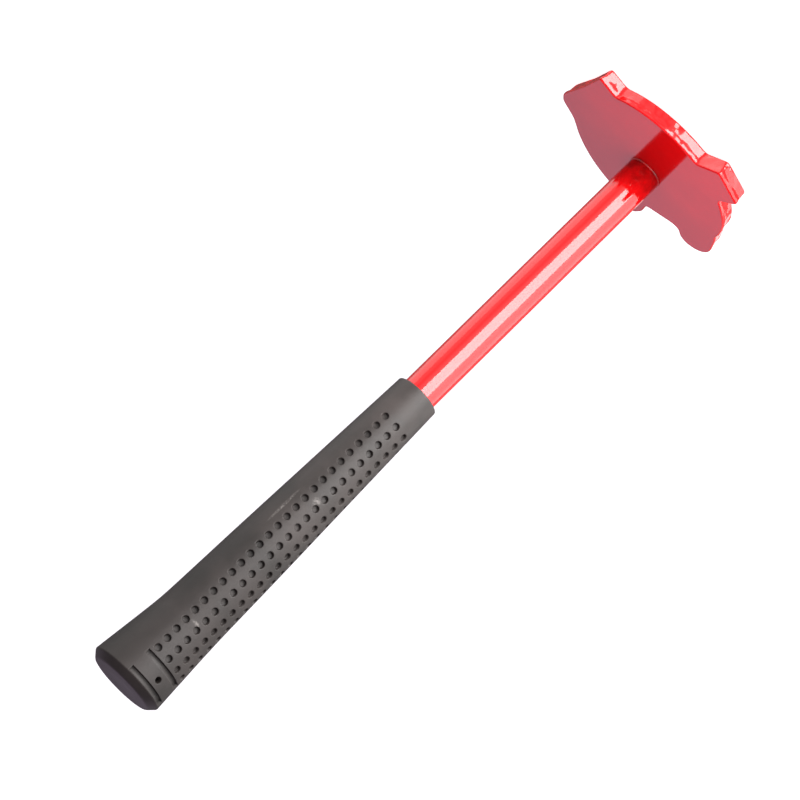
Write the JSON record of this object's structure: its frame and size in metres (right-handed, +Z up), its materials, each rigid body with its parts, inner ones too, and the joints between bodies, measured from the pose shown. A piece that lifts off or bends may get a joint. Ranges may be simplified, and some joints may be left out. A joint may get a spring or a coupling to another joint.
{
  "type": "plate-headed hand tool",
  "caption": "Hand tool with a lugged flat steel plate fixed square on the end of a straight tube handle, with a dimpled moulded rubber hammer grip.",
  "frame": {"origin": "on the handle axis, in the plate's striking face", "axes": "+Z up the handle from the plate to the butt; -Y and +Y out of the grip's two dimpled cheeks; +X towards the flared heel of the butt"},
  "size_m": [0.1186, 0.1197, 0.3798],
  "materials": {
    "red_enamel": "gloss enamel on steel",
    "grip_rubber": "matt moulded rubber"
  },
  "bodies": {
    "root": {"head_plate": "red_enamel", "handle_tube": "red_enamel", "weld_bead": "red_enamel", "rubber_grip": "grip_rubber"}
  },
  "joints": []
}
